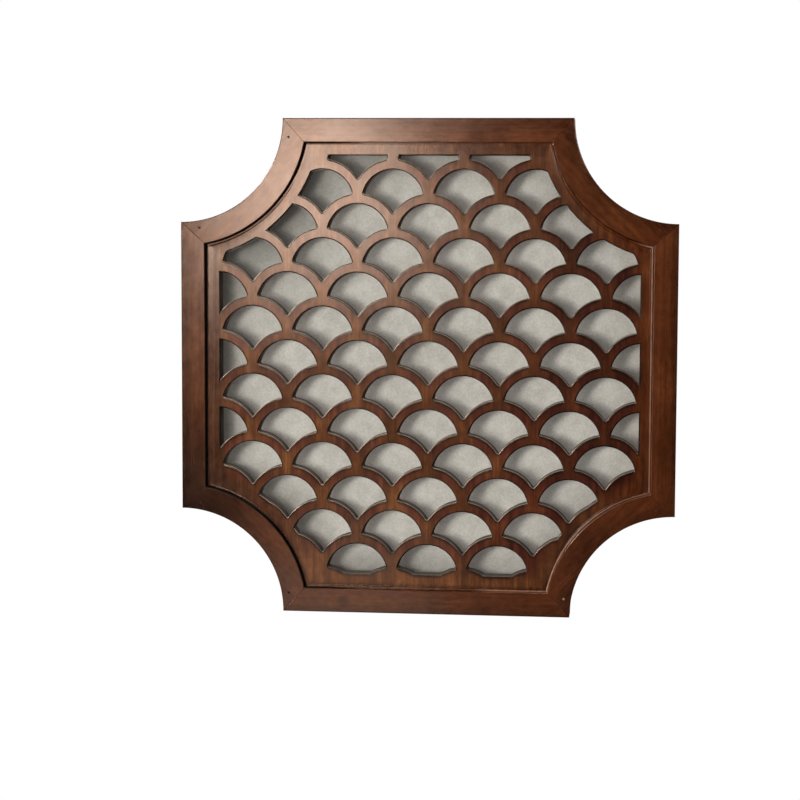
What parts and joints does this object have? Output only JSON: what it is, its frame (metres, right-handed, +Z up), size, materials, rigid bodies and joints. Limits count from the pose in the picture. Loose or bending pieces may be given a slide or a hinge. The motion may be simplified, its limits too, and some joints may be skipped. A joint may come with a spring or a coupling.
{
  "type": "hanging lattice panel",
  "caption": "Square wooden wall panel with scooped corners: a mitred frame round a board pierced with overlapping fish-scale openings, hung from swinging D-rings on its back.",
  "frame": {"origin": "middle of the back face of the top rail, 14.5 mm below the panel's top edge, where it faces the wall", "axes": "+X to the right as seen from the front, +Y out of the back into the wall, +Z up; the front face looks along -Y"},
  "size_m": [0.6, 0.041, 0.6],
  "materials": {
    "frame_wood": "satin dark reddish-brown lacquer",
    "board_wood": "satin dark reddish-brown lacquer",
    "tenon_wood": "unfinished",
    "pin_steel": "dark oxidised steel",
    "hanger_brass": "brass-plated steel",
    "screw_steel": "zinc-plated",
    "pad_felt": "dense wool felt"
  },
  "bodies": {
    "panel": {"top_rail": "frame_wood", "bottom_rail": "frame_wood", "left_stile": "frame_wood", "right_stile": "frame_wood", "corner_top_left": "frame_wood", "corner_top_right": "frame_wood", "corner_bottom_left": "frame_wood", "corner_bottom_right": "frame_wood", "fret_board": "board_wood", "tenon_top_left_rail": "tenon_wood", "tenon_top_left_stile": "tenon_wood", "tenon_top_right_rail": "tenon_wood", "tenon_top_right_stile": "tenon_wood", "tenon_bottom_left_rail": "tenon_wood", "tenon_bottom_left_stile": "tenon_wood", "tenon_bottom_right_rail": "tenon_wood", "tenon_bottom_right_stile": "tenon_wood", "mitre_pins": "pin_steel", "hanger_plate_left": "hanger_brass", "hanger_plate_right": "hanger_brass", "hanger_screws": "screw_steel", "felt_pad_left": "pad_felt", "felt_pad_right": "pad_felt"},
    "ring_left": {"hanger_ring_left": "hanger_brass"},
    "ring_right": {"hanger_ring_right": "hanger_brass"}
  },
  "joints": [
    {"name": "ring_left_swing", "type": "hinge", "parent": "panel", "child": "ring_left", "pos_m": [-0.2855, 0.00205, -0.1755], "axis": [-1, 0, 0], "range_deg": [0, 175]},
    {"name": "ring_right_swing", "type": "hinge", "parent": "panel", "child": "ring_right", "pos_m": [0.2855, 0.00205, -0.1755], "axis": [-1, 0, 0], "range_deg": [0, 175]}
  ]
}
